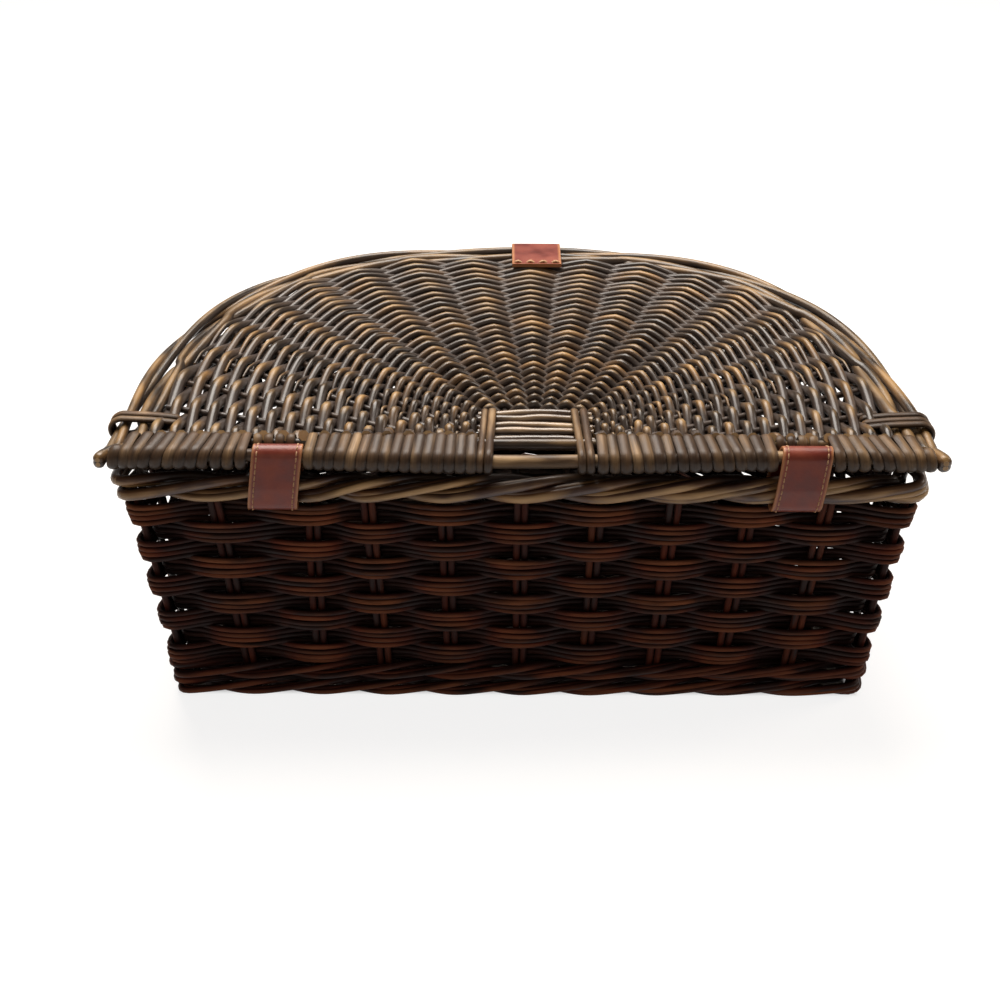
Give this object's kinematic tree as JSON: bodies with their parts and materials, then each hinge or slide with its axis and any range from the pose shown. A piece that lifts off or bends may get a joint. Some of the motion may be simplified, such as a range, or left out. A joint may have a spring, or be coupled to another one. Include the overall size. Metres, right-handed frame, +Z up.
{
  "type": "picnic basket",
  "caption": "Half-moon woven willow picnic basket with a fan-woven lid on leather hinge straps and a leather closing strap over a brass turn button.",
  "frame": {"origin": "middle of the overall box, on the surface the basket stands on", "axes": "+Z up, +X along the straight hinge side, +Y from the hinge side to the curved side with the closing strap"},
  "size_m": [0.462, 0.3182, 0.1732],
  "materials": {
    "lid_willow": "brown-stained willow rods under gloss varnish, worn to tan on the crests",
    "wall_willow": "dark red-brown stained willow rods under varnish",
    "base_willow": "dark brown stained willow sticks and strips",
    "strap_leather": "smooth red-brown leather with cut edges and tan stitching",
    "latch_brass": "satin stamped brass"
  },
  "bodies": {
    "basket": {"base_foot_ring": "base_willow", "base_sticks": "base_willow", "base_weave": "base_willow", "foot_wale_lower": "wall_willow", "foot_wale_upper": "wall_willow", "hinge_strap_left": "strap_leather", "hinge_strap_right": "strap_leather", "latch_plate": "latch_brass", "latch_screws": "latch_brass", "top_border": "wall_willow", "wall_row_1": "wall_willow", "wall_row_2": "wall_willow", "wall_row_3": "wall_willow", "wall_row_4": "wall_willow", "wall_row_5": "wall_willow", "wall_row_6": "wall_willow", "wall_row_7": "wall_willow", "wall_row_8": "wall_willow", "wall_row_9": "wall_willow", "wall_stakes": "wall_willow"},
    "lid": {"lid_back_rod": "lid_willow", "lid_bar_wrap_far_left": "lid_willow", "lid_bar_wrap_far_right": "lid_willow", "lid_bar_wrap_left": "lid_willow", "lid_bar_wrap_right": "lid_willow", "lid_block_lashings": "lid_willow", "lid_block_rods": "lid_willow", "lid_bow_inner": "lid_willow", "lid_bow_middle": "lid_willow", "lid_bow_outer": "lid_willow", "lid_corner_binding_left": "lid_willow", "lid_corner_binding_right": "lid_willow", "lid_front_bar": "lid_willow", "lid_row_01": "lid_willow", "lid_row_02": "lid_willow", "lid_row_03": "lid_willow", "lid_row_04": "lid_willow", "lid_row_05": "lid_willow", "lid_row_06": "lid_willow", "lid_row_07": "lid_willow", "lid_row_08": "lid_willow", "lid_row_09": "lid_willow", "lid_row_10": "lid_willow", "lid_row_11": "lid_willow", "lid_row_12": "lid_willow", "lid_row_13": "lid_willow", "lid_row_14": "lid_willow", "lid_row_15": "lid_willow", "lid_row_16": "lid_willow", "lid_spokes": "lid_willow", "strap_tab": "strap_leather"},
    "strap": {"closing_strap": "strap_leather"},
    "button": {"turn_button": "latch_brass"}
  },
  "joints": [
    {"name": "lid_hinge", "type": "hinge", "parent": "basket", "child": "lid", "pos_m": [0, -0.1496, 0.164], "axis": [1, 0, 0], "range_deg": [0, 180]},
    {"name": "strap_flip", "type": "hinge", "parent": "lid", "child": "strap", "pos_m": [0.013, 0.15775, 0.15645], "axis": [1, 0, 0], "range_deg": [-7.5, 150]},
    {"name": "button_turn", "type": "hinge", "parent": "basket", "child": "button", "pos_m": [0.013, 0.14456, 0.0997], "axis": [0, 1, 0], "range_deg": [0, 90]}
  ]
}
